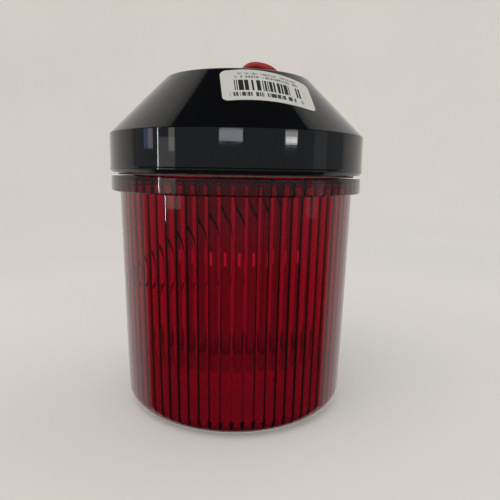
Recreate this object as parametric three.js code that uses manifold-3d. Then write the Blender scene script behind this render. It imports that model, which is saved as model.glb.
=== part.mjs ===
import * as THREE from "three";
import { mergeVertices } from "three/addons/utils/BufferGeometryUtils.js";
import Module from "manifold-3d";

// Beacon warning light, standing on the flat end of its lens with its mounting face up.
// Millimetres, +Z up, origin at the centre of the lens end.

// Driving dimensions
const BAND_R = 62;
const BAND_BOTTOM = 113.9;
const CREASE_Z = 131.7;
const MOUNT_FACE_Z = 158.5;
const MOUNT_FACE_R = 34.6;
const SHELL_WALL = 2.5;
const GAP = 0.3;
const ROUND_SIDES = 60;
const SMALL_SIDES = 16;

// Recess in the mounting face, where the lead comes out
const RECESS_R = 25.5;
const RECESS_FLOOR = 150.5;
const RECESS_THICK = 3;
const GROMMET_HOLE_R = 7;

// Twist closure between housing and lens
const COLLAR_R = 53.2;
const COLLAR_WALL = 2.6;
const COLLAR_TOP = 125;
const RIM_THICK = 3.1;
const NECK_R = 50.4;
const NECK_WALL = 2.5;
const NECK_TOP = 122.5;
const LUG_COUNT = 4;
const LUG_ARC = THREE.MathUtils.degToRad(36);
const LUG_HEIGHT = 2.4;
const LUG_TOP = 117.8;
const LUG_REACH = 2.4;
const LUG_LEAD_PER_RAD = 3.056;

// Lens
const FLANGE_R = 61.4;
const FLANGE_TOP = 112.6;
const FLANGE_BOTTOM = 105.5;
const LENS_TOP_R = 57.4;
const LENS_END_R = 55.2;
const LENS_CORNER = 8.4;
const LENS_WALL = 2.8;
const FLUTE_COUNT = 72;
const FLUTE_DEPTH = 1.1;
const FLUTE_PHASE = THREE.MathUtils.degToRad(1.25);
const CAVITY_END = 3;
const CAVITY_TOP = 110.5;
const GATE_MARK_R = 1.8;
const GATE_MARK_HEIGHT = 1.5;

// Light tower inside the lens
const CARRIER_BOTTOM = 124;
const CARRIER_THICK = 3;
const CARRIER_R = 44;
const TOWER_SIDES = 6;
const CORE_FLAT = 16;
const CORE_WALL = 2;
const CORE_BOTTOM = 21.8;
const CORE_TOP = CARRIER_BOTTOM - GAP;
const PORT_CIRCLE = 12.4;
const PORT_R = 2.9;
const PORT_HOLE_R = 1.5;
const BOARD_THICK = 1.6;
const BOARD_WIDTH = 17.5;
const BOARD_BOTTOM = 24;
const BOARD_TOP = 121;
const BOARD_FRONT = CORE_FLAT + GAP + BOARD_THICK;
const DIODE_WIDTH = 7;
const DIODE_TALL = 8;
const DIODE_THICK = 2;
const DIODE_Z = 73.5;
const CAP_R = 26;
const CAP_WALL = 2;
const CAP_BOTTOM = 18.5;
const CAP_TOP = 28;

// Feed lead from the driver board to the light boards
const FEED_R = 1.1;
const FEED_HOLE_X = 18;
const FEED_HOLE_Y = -20;
const PLUG_DEPTH = 5;
const PLUG_Z = 51.5;
const PLUG_ANGLE = THREE.MathUtils.degToRad(150);

// Driver board above the carrier
const POST_CIRCLE = 27;
const POST_R = 3;
const POST_TOP = 131;
const DRIVER_R = 32;
const DRIVER_BOTTOM = POST_TOP + GAP;
const DRIVER_TOP = DRIVER_BOTTOM + BOARD_THICK;
const PART_SEAT = DRIVER_TOP + GAP;

// Screws and inserts
const SCREW_R = 1.2;
const SCREW_HEAD_R = 2.8;
const SCREW_HEAD = 2;
const SCREW_HOLE_R = 1.7;
const BOSS_CIRCLE = 38;
const BOSS_R = 4;
const INSERT_CIRCLE = 30.5;
const INSERT_R = 3.3;
const INSERT_BORE_R = 2.1;
const INSERT_LENGTH = 9;
const INSERT_BOSS_R = 4.8;

// Supply lead
const LEAD_R = 1.6;
const LEAD_SIDES = 8;
const LEAD_X = 3;
const NOSE_TOP = 154.5;
const COIL_INNER_R = 15.4;
const COIL_OUTER_R = 22.2;
const COIL_HEIGHT = 3.3;

const wasm = await Module();
wasm.setup();

const light = new THREE.Group();

const finishes = {
  blackPlastic: { color: 0x101113, roughness: 0.16, metalness: 0 },
  redLens: { color: 0x8c0718, roughness: 0.08, metalness: 0 },
  greySilicone: { color: 0xb4b3ae, roughness: 0.6, metalness: 0 },
  blackRubber: { color: 0x1a1a1b, roughness: 0.75, metalness: 0 },
  whiteNylon: { color: 0xe2dfd6, roughness: 0.5, metalness: 0 },
  aluminium: { color: 0xb9bcbf, roughness: 0.4, metalness: 1 },
  whiteBoard: { color: 0xe9ebe6, roughness: 0.45, metalness: 0 },
  diode: { color: 0xe8d79a, roughness: 0.35, metalness: 0 },
  greenBoard: { color: 0x1f6b3c, roughness: 0.4, metalness: 0 },
  zincSteel: { color: 0xa9adb2, roughness: 0.35, metalness: 1 },
  brass: { color: 0xb8924a, roughness: 0.35, metalness: 1 },
  componentSleeve: { color: 0x22304f, roughness: 0.4, metalness: 0 },
  moulding: { color: 0x1d1e20, roughness: 0.5, metalness: 0 },
  terminalGreen: { color: 0x2f8a4e, roughness: 0.5, metalness: 0 },
  copper: { color: 0xb0653a, roughness: 0.35, metalness: 1 },
  redInsulation: { color: 0xa53835, roughness: 0.45, metalness: 0 },
  paper: { color: 0xd9dbd8, roughness: 0.7, metalness: 0 },
};

function addPiece(name, geometry, finish) {
  const mesh = new THREE.Mesh(geometry, new THREE.MeshStandardMaterial(finish));
  mesh.name = name;
  light.add(mesh);
  return mesh;
}

// Solids and the cuts between them
function solidFrom(geometry) {
  const bare = geometry.clone();
  bare.deleteAttribute("normal");
  bare.deleteAttribute("uv");
  const merged = mergeVertices(bare, 1e-4);
  const mesh = new wasm.Mesh({
    numProp: 3,
    vertProperties: new Float32Array(merged.attributes.position.array),
    triVerts: new Uint32Array(merged.index.array),
  });
  return new wasm.Manifold(mesh);
}

function geometryFrom(solid) {
  const mesh = solid.getMesh();
  const geometry = new THREE.BufferGeometry();
  geometry.setAttribute("position", new THREE.BufferAttribute(mesh.vertProperties, 3));
  geometry.setIndex(new THREE.BufferAttribute(mesh.triVerts, 1));
  return geometry;
}

// A profile of [radius, height] points turned about Z, listed anticlockwise and left open
function turned(profile, sides = ROUND_SIDES) {
  const onAxis = profile[0][0] === 0 && profile[profile.length - 1][0] === 0;
  const closed = onAxis ? profile : [...profile, profile[0]];
  const points = closed.map(([radius, height]) => new THREE.Vector2(radius, height));
  const geometry = new THREE.LatheGeometry(points, sides);
  geometry.rotateX(Math.PI / 2);
  return geometry;
}

function disc(radius, bottom, top, x = 0, y = 0, sides = SMALL_SIDES) {
  const geometry = new THREE.CylinderGeometry(radius, radius, top - bottom, sides);
  geometry.rotateX(Math.PI / 2);
  geometry.translate(x, y, (bottom + top) / 2);
  return geometry;
}

function block(width, depth, height, x, y, bottom) {
  const geometry = new THREE.BoxGeometry(width, depth, height);
  geometry.translate(x, y, bottom + height / 2);
  return geometry;
}

function around(count, radius, firstAngle) {
  const places = [];
  for (let i = 0; i < count; i += 1) {
    const angle = THREE.MathUtils.degToRad(firstAngle) + (i * 2 * Math.PI) / count;
    places.push({ x: radius * Math.cos(angle), y: radius * Math.sin(angle), angle });
  }
  return places;
}

// One ramped lug: a ring sector whose height climbs with the angle
function lug(innerR, outerR, middleBottom, middleAngle) {
  const steps = 9;
  const ramp = new THREE.BoxGeometry(1, 1, LUG_HEIGHT, steps, 1, 1);
  const place = ramp.attributes.position;
  for (let i = 0; i < place.count; i += 1) {
    const turn = place.getX(i) * LUG_ARC;
    const radius = place.getY(i) < 0 ? outerR : innerR;
    const height = middleBottom + LUG_HEIGHT / 2 + place.getZ(i) + turn * LUG_LEAD_PER_RAD;
    const angle = middleAngle + turn;
    place.setXYZ(i, radius * Math.cos(angle), radius * Math.sin(angle), height);
  }
  return ramp;
}

const bossPlaces = around(3, BOSS_CIRCLE, 30);
const insertPlaces = around(3, INSERT_CIRCLE, 90);
const portPlaces = around(3, PORT_CIRCLE, 0);
const postPlaces = around(3, POST_CIRCLE, 90);

// Base housing: band, 45 degree cone, mounting face with its recess, collar with lugs, bosses
function baseHousing() {
  const rimTop = BAND_BOTTOM + RIM_THICK;
  const innerBandR = BAND_R - SHELL_WALL - 0.1;
  const innerConeFoot = BAND_R - SHELL_WALL * Math.SQRT2;
  const faceUnder = MOUNT_FACE_Z - 3;
  const innerConeZ = (radius) => CREASE_Z + innerConeFoot - radius;
  const innerConeTopR = innerConeFoot - (faceUnder - CREASE_Z);
  const shell = solidFrom(
    turned([
      [GROMMET_HOLE_R, RECESS_FLOOR - RECESS_THICK],
      [RECESS_R + SHELL_WALL, RECESS_FLOOR - RECESS_THICK],
      [RECESS_R + SHELL_WALL, faceUnder],
      [innerConeTopR, faceUnder],
      [innerBandR, innerConeZ(innerBandR)],
      [innerBandR, rimTop],
      [COLLAR_R + COLLAR_WALL, rimTop],
      [COLLAR_R + COLLAR_WALL, COLLAR_TOP],
      [COLLAR_R, COLLAR_TOP],
      [COLLAR_R, BAND_BOTTOM],
      [BAND_R - 0.9, BAND_BOTTOM],
      [BAND_R, BAND_BOTTOM + 1.7],
      [BAND_R, CREASE_Z],
      [MOUNT_FACE_R + 1.7, MOUNT_FACE_Z - 1.1],
      [MOUNT_FACE_R + 0.9, MOUNT_FACE_Z - 0.4],
      [MOUNT_FACE_R, MOUNT_FACE_Z],
      [RECESS_R + 0.6, MOUNT_FACE_Z],
      [RECESS_R, MOUNT_FACE_Z - 0.6],
      [RECESS_R, RECESS_FLOOR],
      [GROMMET_HOLE_R, RECESS_FLOOR],
    ]),
  );
  let housing = shell;
  const pocketBottom = MOUNT_FACE_Z - INSERT_LENGTH - 2 * GAP;
  for (const { x, y } of insertPlaces) {
    housing = housing.add(solidFrom(disc(INSERT_BOSS_R, pocketBottom - 2, faceUnder + 1, x, y)));
  }
  for (const { x, y } of insertPlaces) {
    const pocket = disc(INSERT_R + GAP, pocketBottom, MOUNT_FACE_Z + 1, x, y);
    housing = housing.subtract(solidFrom(pocket));
  }
  const middleOfWall = solidFrom(turned(bossLimit()));
  for (const { x, y } of bossPlaces) {
    const bossBottom = CARRIER_BOTTOM + CARRIER_THICK + GAP;
    const boss = solidFrom(disc(BOSS_R, bossBottom, faceUnder, x, y));
    housing = housing.add(boss.intersect(middleOfWall));
    const pilot = disc(SCREW_R + GAP, bossBottom - 1, bossBottom + 12, x, y);
    housing = housing.subtract(solidFrom(pilot));
  }
  for (const { angle } of around(LUG_COUNT, 1, 45)) {
    const ramp = lug(COLLAR_R - LUG_REACH, COLLAR_R + 0.5, LUG_TOP - LUG_HEIGHT, angle);
    housing = housing.add(solidFrom(ramp));
  }
  return geometryFrom(housing);
}

// Profile through the middle of the cone's wall, where the long bosses end
function bossLimit() {
  const inset = SHELL_WALL / 2;
  const top = MOUNT_FACE_Z - inset;
  const coneSum = CREASE_Z + BAND_R - inset * Math.SQRT2;
  return [
    [0, BAND_BOTTOM],
    [BAND_R - inset, BAND_BOTTOM],
    [BAND_R - inset, coneSum - BAND_R + inset],
    [coneSum - top, top],
    [0, top],
  ];
}

// Threaded brass insert with a blind pocket under it
function threadedInsert({ x, y }) {
  const top = MOUNT_FACE_Z - GAP;
  const bottom = top - INSERT_LENGTH;
  const ring = turned(
    [
      [INSERT_BORE_R, bottom],
      [INSERT_R - 0.5, bottom],
      [INSERT_R, bottom + 0.6],
      [INSERT_R, top],
      [INSERT_BORE_R, top],
    ],
    SMALL_SIDES,
  );
  ring.translate(x, y, 0);
  return ring;
}

// Rubber grommet with a flange each side of the recess floor and two lead holes
function cableGrommet() {
  const lowerFlange = RECESS_FLOOR - RECESS_THICK - GAP;
  const body = solidFrom(
    turned(
      [
        [0, lowerFlange - 1.6],
        [9, lowerFlange - 1.6],
        [9, lowerFlange],
        [GROMMET_HOLE_R - GAP, lowerFlange],
        [GROMMET_HOLE_R - GAP, RECESS_FLOOR + GAP],
        [9.5, RECESS_FLOOR + GAP],
        [9.5, RECESS_FLOOR + 1.7],
        [7.2, RECESS_FLOOR + 2.2],
        [6.4, NOSE_TOP],
        [0, NOSE_TOP],
      ],
      24,
    ),
  );
  const bottom = lowerFlange - 3;
  const red = solidFrom(disc(LEAD_R + GAP, bottom, NOSE_TOP + 1, LEAD_X, 0, LEAD_SIDES));
  const spare = solidFrom(disc(LEAD_R, bottom, NOSE_TOP + 1, -LEAD_X, 0, LEAD_SIDES));
  return geometryFrom(body.subtract(red).subtract(spare));
}

// Lens: cup with a flat end, inner flutes, flange, a neck with ramped lugs, and a gate mark
function lens() {
  const outside = solidFrom(lensOutline());
  const upperBore = turned([
    [0, CAVITY_TOP - 1],
    [NECK_R - NECK_WALL, CAVITY_TOP - 1],
    [NECK_R - NECK_WALL, NECK_TOP + 1],
    [0, NECK_TOP + 1],
  ]);
  let cup = outside.subtract(solidFrom(flutedCavity())).subtract(solidFrom(upperBore));
  for (const { angle } of around(LUG_COUNT, 1, 45)) {
    cup = cup.add(solidFrom(lug(NECK_R - 0.5, NECK_R + LUG_REACH, LUG_TOP + GAP, angle)));
  }
  const gateMark = disc(GATE_MARK_R, CAVITY_END - 1, CAVITY_END + GATE_MARK_HEIGHT, 0, 0, 12);
  return geometryFrom(cup.add(solidFrom(gateMark)));
}

function lensOutline() {
  const profile = [[0, 0]];
  const cornerSteps = 4;
  for (let i = 0; i <= cornerSteps; i += 1) {
    const turn = (i / cornerSteps) * (Math.PI / 2);
    const radius = LENS_END_R - LENS_CORNER + LENS_CORNER * Math.sin(turn);
    profile.push([radius, LENS_CORNER - LENS_CORNER * Math.cos(turn)]);
  }
  profile.push([LENS_TOP_R, FLANGE_BOTTOM]);
  profile.push([FLANGE_R - 0.6, FLANGE_BOTTOM]);
  profile.push([FLANGE_R, FLANGE_BOTTOM + 0.6]);
  profile.push([FLANGE_R, FLANGE_TOP - 0.6]);
  profile.push([FLANGE_R - 0.6, FLANGE_TOP]);
  profile.push([NECK_R, FLANGE_TOP]);
  profile.push([NECK_R, NECK_TOP]);
  profile.push([0, NECK_TOP]);
  return turned(profile);
}

// Space inside the lens, ribbed like a star and narrowing with the mould's draft
function flutedCavity() {
  const outline = new THREE.Shape();
  const ridgeR = LENS_TOP_R - LENS_WALL - FLUTE_DEPTH;
  const corners = FLUTE_COUNT * 2;
  for (let i = 0; i < corners; i += 1) {
    const radius = i % 2 === 0 ? ridgeR : ridgeR + FLUTE_DEPTH;
    const angle = FLUTE_PHASE + (i / corners) * 2 * Math.PI;
    const x = radius * Math.cos(angle);
    const y = radius * Math.sin(angle);
    if (i === 0) {
      outline.moveTo(x, y);
    } else {
      outline.lineTo(x, y);
    }
  }
  outline.closePath();
  const depth = CAVITY_TOP - CAVITY_END;
  const cavity = new THREE.ExtrudeGeometry(outline, { depth, steps: 2, bevelEnabled: false });
  const place = cavity.attributes.position;
  for (let i = 0; i < place.count; i += 1) {
    const share = place.getZ(i) / depth;
    const draft = (1 - share) * (LENS_TOP_R - LENS_END_R);
    const corner = share === 0 ? 5.5 : 0;
    const narrow = 1 - (draft + corner) / LENS_TOP_R;
    place.setXY(i, place.getX(i) * narrow, place.getY(i) * narrow);
    const height = share > 0 && share < 1 ? CAVITY_END + 6 : CAVITY_END + place.getZ(i);
    place.setZ(i, height);
  }
  return cavity;
}

function lensGasket() {
  const bottom = FLANGE_TOP + GAP;
  const top = BAND_BOTTOM - GAP;
  return turned([
    [53.2, bottom],
    [58.1, bottom],
    [58.1, top],
    [53.2, top],
  ]);
}

// Carrier plate: holds the tower on one side and the driver board on the other
function towerCarrier() {
  const top = CARRIER_BOTTOM + CARRIER_THICK;
  let plate = solidFrom(
    turned(
      [
        [6, CARRIER_BOTTOM],
        [CARRIER_R, CARRIER_BOTTOM],
        [CARRIER_R, top],
        [6, top],
      ],
      36,
    ),
  );
  for (const { x, y } of postPlaces) {
    plate = plate.add(solidFrom(disc(POST_R, top - 1, POST_TOP, x, y)));
    plate = plate.subtract(solidFrom(disc(SCREW_R + GAP, top - 1.5, POST_TOP + 1, x, y, 8)));
  }
  for (const { x, y } of [...bossPlaces, ...portPlaces]) {
    const hole = disc(SCREW_HOLE_R, CARRIER_BOTTOM - 1, top + 1, x, y, 8);
    plate = plate.subtract(solidFrom(hole));
  }
  const feedHole = disc(FEED_R + GAP, CARRIER_BOTTOM - 1, top + 1, FEED_HOLE_X, FEED_HOLE_Y, 8);
  return geometryFrom(plate.subtract(solidFrom(feedHole)));
}

function hexagon(flat, bottom, top) {
  const radius = flat / Math.cos(Math.PI / TOWER_SIDES);
  const geometry = new THREE.CylinderGeometry(radius, radius, top - bottom, TOWER_SIDES);
  geometry.rotateX(Math.PI / 2);
  geometry.rotateZ(Math.PI / TOWER_SIDES);
  geometry.translate(0, 0, (bottom + top) / 2);
  return geometry;
}

// Aluminium hexagon extrusion with three screw ports in its corners
function towerCore() {
  let core = solidFrom(hexagon(CORE_FLAT, CORE_BOTTOM, CORE_TOP));
  const bore = hexagon(CORE_FLAT - CORE_WALL, CORE_BOTTOM - 1, CORE_TOP + 1);
  core = core.subtract(solidFrom(bore));
  for (const { x, y, angle } of portPlaces) {
    core = core.add(solidFrom(disc(PORT_R, CORE_BOTTOM, CORE_TOP, x, y, 8)));
    const web = block(4, 2.4, CORE_TOP - CORE_BOTTOM, PORT_CIRCLE + 3, 0, CORE_BOTTOM);
    web.rotateZ(angle);
    core = core.add(solidFrom(web));
  }
  for (const { x, y } of portPlaces) {
    core = core.subtract(solidFrom(disc(PORT_HOLE_R, CORE_BOTTOM - 1, CORE_TOP + 1, x, y, 8)));
  }
  return geometryFrom(core);
}

// Light board: a plain strip screwed flat against one side of the core
function lightBoard(angle) {
  const height = BOARD_TOP - BOARD_BOTTOM;
  const x = BOARD_FRONT - BOARD_THICK / 2;
  const board = block(BOARD_THICK, BOARD_WIDTH, height, x, 0, BOARD_BOTTOM);
  return board.rotateZ(angle);
}

// Diode package on a light board's outer face, with a shallow well for its phosphor
function diodePackage(angle) {
  const x = BOARD_FRONT + GAP + DIODE_THICK / 2;
  const bottom = DIODE_Z - DIODE_TALL / 2;
  const body = solidFrom(block(DIODE_THICK, DIODE_WIDTH, DIODE_TALL, x, 0, bottom));
  const well = block(1, DIODE_WIDTH - 1.6, DIODE_TALL - 1.6, x + 1, 0, bottom + 0.8);
  return geometryFrom(body.subtract(solidFrom(well))).rotateZ(angle);
}

// Plug of the feed lead on one light board
function feedPlug() {
  const x = BOARD_FRONT + GAP + PLUG_DEPTH / 2;
  return block(PLUG_DEPTH, 7, 5, x, 0, PLUG_Z - 2.5).rotateZ(PLUG_ANGLE);
}

// Cup on the end of the tower, round the ends of the light boards
function towerCap() {
  const floor = CORE_BOTTOM - GAP;
  const capOutline = [
    [0, CAP_BOTTOM],
    [CAP_R - 1.2, CAP_BOTTOM],
    [CAP_R, CAP_BOTTOM + 1.2],
    [CAP_R, CAP_TOP],
    [CAP_R - CAP_WALL, CAP_TOP],
    [CAP_R - CAP_WALL, floor],
    [0, floor],
  ];
  let cap = solidFrom(turned(capOutline, 36));
  for (const { x, y } of portPlaces) {
    cap = cap.subtract(solidFrom(disc(SCREW_HOLE_R, CAP_BOTTOM - 1, floor + 1, x, y, 8)));
  }
  return geometryFrom(cap);
}

// Pan head screw at a place, pointing up (1) or down (-1) from the seat of its head
function screw({ x, y }, seat, length, direction) {
  const shank = [
    [0, -SCREW_HEAD],
    [SCREW_HEAD_R - 0.7, -SCREW_HEAD],
    [SCREW_HEAD_R, -SCREW_HEAD + 0.7],
    [SCREW_HEAD_R, 0],
    [SCREW_R, 0],
    [SCREW_R, length],
    [0, length],
  ];
  const geometry = turned(shank, 10);
  if (direction < 0) {
    geometry.rotateX(Math.PI);
  }
  geometry.translate(x, y, seat);
  return geometry;
}

// Round board with clearance for the housing bosses and holes over the posts
function driverBoard() {
  let board = solidFrom(disc(DRIVER_R, DRIVER_BOTTOM, DRIVER_TOP, 0, 0, 36));
  for (const { x, y } of postPlaces) {
    const hole = disc(SCREW_HOLE_R, DRIVER_BOTTOM - 1, DRIVER_TOP + 1, x, y, 8);
    board = board.subtract(solidFrom(hole));
  }
  return geometryFrom(board);
}

function capacitor() {
  return turned(
    [
      [0, PART_SEAT],
      [4.6, PART_SEAT],
      [5, PART_SEAT + 0.5],
      [5, PART_SEAT + 11.5],
      [4.4, PART_SEAT + 12],
      [0, PART_SEAT + 12],
    ],
    24,
  ).translate(-14, -14, 0);
}

function inductor() {
  return turned(
    [
      [0, PART_SEAT],
      [6, PART_SEAT],
      [6, PART_SEAT + 1.4],
      [4.6, PART_SEAT + 2],
      [4.6, PART_SEAT + 6],
      [6, PART_SEAT + 6.6],
      [6, PART_SEAT + 8],
      [0, PART_SEAT + 8],
    ],
    24,
  ).translate(-16, 9, 0);
}

function terminalBlock() {
  let body = solidFrom(block(9, 11, 10, 16.5, 0, PART_SEAT));
  const mouth = block(3, 4.2, 4.2, 12.6, 0, PART_SEAT + 2.2);
  body = body.subtract(solidFrom(mouth));
  return geometryFrom(body);
}

// A round lead along a smooth curve through its points
function leadAlong(points, steps, leadR = LEAD_R) {
  const curve = new THREE.CatmullRomCurve3(points, false, "centripetal");
  const section = new THREE.Shape();
  for (let i = 0; i <= LEAD_SIDES; i += 1) {
    const angle = (i / LEAD_SIDES) * 2 * Math.PI;
    const x = leadR * Math.cos(angle);
    const y = leadR * Math.sin(angle);
    if (i === 0) {
      section.moveTo(x, y);
    } else if (i < LEAD_SIDES) {
      section.lineTo(x, y);
    } else {
      section.closePath();
    }
  }
  return new THREE.ExtrudeGeometry(section, { steps, extrudePath: curve, bevelEnabled: false });
}

// Lead from the terminal block up through the grommet
function leadInside() {
  const entryZ = PART_SEAT + 4.3;
  return leadAlong(
    [
      new THREE.Vector3(LEAD_X, 0, NOSE_TOP),
      new THREE.Vector3(LEAD_X, 0, 150),
      new THREE.Vector3(LEAD_X, 0, 146),
      new THREE.Vector3(LEAD_X + 0.7, 0, 142.6),
      new THREE.Vector3(LEAD_X + 2.7, 0, 139.5),
      new THREE.Vector3(LEAD_X + 5.8, 0, entryZ + 0.3),
      new THREE.Vector3(LEAD_X + 8.8, 0, entryZ),
    ],
    14,
  );
}

// Feed lead: down through the carrier, slack across the tower, and back to its plug
function feedLead() {
  const plugFace = BOARD_FRONT + GAP + PLUG_DEPTH + GAP;
  const plugX = Math.cos(PLUG_ANGLE);
  const plugY = Math.sin(PLUG_ANGLE);
  return leadAlong(
    [
      new THREE.Vector3(FEED_HOLE_X, FEED_HOLE_Y, DRIVER_BOTTOM - GAP),
      new THREE.Vector3(FEED_HOLE_X, FEED_HOLE_Y, 127),
      new THREE.Vector3(FEED_HOLE_X, FEED_HOLE_Y, 122),
      new THREE.Vector3(17.6, -20.6, 116.5),
      new THREE.Vector3(16.2, -21.9, 110),
      new THREE.Vector3(12.8, -23.4, 104),
      new THREE.Vector3(7, -24.6, 99.2),
      new THREE.Vector3(-1, -25, 95),
      new THREE.Vector3(-9, -24.4, 91),
      new THREE.Vector3(-17, -22.4, 86.2),
      new THREE.Vector3(-24, -18.6, 80.6),
      new THREE.Vector3(-30, -13.2, 74.8),
      new THREE.Vector3(-34.6, -6.4, 69),
      new THREE.Vector3(-36.8, 1, 63.4),
      new THREE.Vector3(-36, 8, 58.4),
      new THREE.Vector3(-32.4, 12.8, 54.6),
      new THREE.Vector3(plugX * (plugFace + 6), plugY * (plugFace + 6) + 0.4, 52.3),
      new THREE.Vector3(plugX * plugFace, plugY * plugFace, PLUG_Z),
    ],
    30,
    FEED_R,
  );
}

// Lead outside: straight out of the grommet, a short arch, and down on to its own coil
function supplyLead() {
  return leadAlong(
    [
      new THREE.Vector3(3, 0, 154.8),
      new THREE.Vector3(3, 0, 156.2),
      new THREE.Vector3(2.7, 0, 157.6),
      new THREE.Vector3(2.2, 0, 159.2),
      new THREE.Vector3(2, -0.1, 160.9),
      new THREE.Vector3(2.4, -0.3, 162.8),
      new THREE.Vector3(3.7, -0.5, 164.7),
      new THREE.Vector3(5.7, -0.8, 166),
      new THREE.Vector3(8.2, -1.1, 166.45),
      new THREE.Vector3(12, -1.4, 165.95),
      new THREE.Vector3(14.9, -1.7, 164.95),
      new THREE.Vector3(17.4, -1.9, 163.4),
      new THREE.Vector3(19.4, -2, 161.2),
      new THREE.Vector3(20.6, -1.7, 158.8),
      new THREE.Vector3(21, -0.6, 156.6),
    ],
    20,
  );
}

function supplyLeadCoil() {
  const bottom = RECESS_FLOOR + GAP;
  return turned(
    [
      [COIL_INNER_R, bottom],
      [COIL_OUTER_R, bottom],
      [COIL_OUTER_R, bottom + COIL_HEIGHT],
      [COIL_INNER_R, bottom + COIL_HEIGHT],
    ],
    48,
  );
}

// Paper label, wrapped round the cone a little askew: a sheet cut flat, then rolled on the cone
function paperLabel() {
  const width = 40;
  const height = 20;
  const thick = 0.12;
  const tilt = THREE.MathUtils.degToRad(5.5);
  const centreSlant = 60.1;
  const centreArc = 13;
  const sheet = new THREE.BoxGeometry(width, height, thick, 14, 6, 1);
  const place = sheet.attributes.position;
  const apexZ = CREASE_Z + BAND_R;
  for (let i = 0; i < place.count; i += 1) {
    const across = place.getX(i) * Math.cos(tilt) - place.getY(i) * Math.sin(tilt);
    const up = place.getX(i) * Math.sin(tilt) + place.getY(i) * Math.cos(tilt);
    const flatX = centreArc + across;
    const flatY = centreSlant - up;
    const slant = Math.hypot(flatX, flatY);
    const azimuth = Math.atan2(flatX, flatY) * Math.SQRT2;
    const lift = GAP + 0.05 + thick / 2 + place.getZ(i);
    const radius = (slant + lift) / Math.SQRT2;
    const z = apexZ - (slant - lift) / Math.SQRT2;
    place.setXYZ(i, radius * Math.sin(azimuth), -radius * Math.cos(azimuth), z);
  }
  return sheet;
}

addPiece("base_housing", baseHousing(), finishes.blackPlastic);
addPiece("lens", lens(), finishes.redLens);
addPiece("lens_gasket", lensGasket(), finishes.greySilicone);
addPiece("cable_grommet", cableGrommet(), finishes.blackRubber);
addPiece("tower_carrier", towerCarrier(), finishes.moulding);
addPiece("tower_core", towerCore(), finishes.aluminium);
addPiece("tower_cap", towerCap(), finishes.whiteNylon);
addPiece("driver_board", driverBoard(), finishes.greenBoard);
addPiece("capacitor", capacitor(), finishes.componentSleeve);
addPiece("inductor", inductor(), finishes.copper);
addPiece("rectifier", block(8, 3.2, 8, 0, -18, PART_SEAT), finishes.moulding);
addPiece("driver_chip", block(6, 5, 1.7, 0, 15, PART_SEAT), finishes.moulding);
addPiece("fuse", block(7.4, 2.7, 2.7, 14, -15, PART_SEAT), finishes.zincSteel);
addPiece("terminal_block", terminalBlock(), finishes.terminalGreen);
addPiece("lead_inside", leadInside(), finishes.redInsulation);
addPiece("feed_lead", feedLead(), finishes.blackRubber);
addPiece("feed_plug", feedPlug(), finishes.whiteNylon);
addPiece("supply_lead", supplyLead(), finishes.redInsulation);
addPiece("supply_lead_coil", supplyLeadCoil(), finishes.redInsulation);
addPiece("paper_label", paperLabel(), finishes.paper);

for (let side = 0; side < TOWER_SIDES; side += 1) {
  const angle = (side + 0.5) * ((2 * Math.PI) / TOWER_SIDES);
  addPiece(`light_board_${side + 1}`, lightBoard(angle), finishes.whiteBoard);
  addPiece(`diode_${side + 1}`, diodePackage(angle), finishes.diode);
}
insertPlaces.forEach((place, i) => {
  addPiece(`threaded_insert_${i + 1}`, threadedInsert(place), finishes.brass);
});
bossPlaces.forEach((place, i) => {
  const geometry = screw(place, CARRIER_BOTTOM - GAP, 13, 1);
  addPiece(`carrier_screw_${i + 1}`, geometry, finishes.zincSteel);
});
portPlaces.forEach((place, i) => {
  const carrierTop = CARRIER_BOTTOM + CARRIER_THICK;
  const upper = screw(place, carrierTop + GAP, 11, -1);
  const lower = screw(place, CAP_BOTTOM - GAP, 12, 1);
  addPiece(`tower_screw_${i + 1}`, upper, finishes.zincSteel);
  addPiece(`cap_screw_${i + 1}`, lower, finishes.zincSteel);
});
postPlaces.forEach((place, i) => {
  const geometry = screw(place, DRIVER_TOP + GAP, 5.5, -1);
  addPiece(`board_screw_${i + 1}`, geometry, finishes.zincSteel);
});

export default light;
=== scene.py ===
import math

import bmesh
import bpy
from mathutils import Matrix, Vector


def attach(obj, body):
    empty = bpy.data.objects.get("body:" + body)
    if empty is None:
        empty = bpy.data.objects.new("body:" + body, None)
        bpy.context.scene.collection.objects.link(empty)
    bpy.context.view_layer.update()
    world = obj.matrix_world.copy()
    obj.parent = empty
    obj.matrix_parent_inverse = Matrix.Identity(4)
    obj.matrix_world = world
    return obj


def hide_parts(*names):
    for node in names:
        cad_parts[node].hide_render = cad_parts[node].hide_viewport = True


# Beacon warning light, standing on the flat end of its lens with its mounting face up.
# Lengths are in millimetres until a piece is finished, when its mesh is scaled to metres.

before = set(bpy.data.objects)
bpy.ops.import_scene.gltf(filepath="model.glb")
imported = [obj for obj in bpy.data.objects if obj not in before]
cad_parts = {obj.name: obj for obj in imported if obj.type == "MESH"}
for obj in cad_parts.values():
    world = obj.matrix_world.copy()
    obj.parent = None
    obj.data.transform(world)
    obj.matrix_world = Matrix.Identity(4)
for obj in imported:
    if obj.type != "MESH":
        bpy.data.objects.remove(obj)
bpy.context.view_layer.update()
MM = 0.001

# ---------------------------------------------------------------------------------------------
# Camera: a quarter of a metre in front, just below the level of the mounting face, looking down
# nine degrees and turned and rolled by a degree or two.
camera_data = bpy.data.cameras.new("camera")
camera_data.sensor_width = 36
camera_data.lens = 35.28
camera = bpy.data.objects.new("camera", camera_data)
camera_turn = Matrix.Rotation(-0.029, 4, "Z") @ Matrix.Rotation(math.pi / 2 - 0.159, 4, "X")
camera_roll = Matrix.Rotation(0.016, 4, "Z")
camera.matrix_world = Matrix.Translation((0, -0.2517, 0.1152)) @ camera_turn @ camera_roll
bpy.context.scene.collection.objects.link(camera)
bpy.context.scene.camera = camera
bpy.context.scene.view_settings.view_transform = "Standard"


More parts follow.
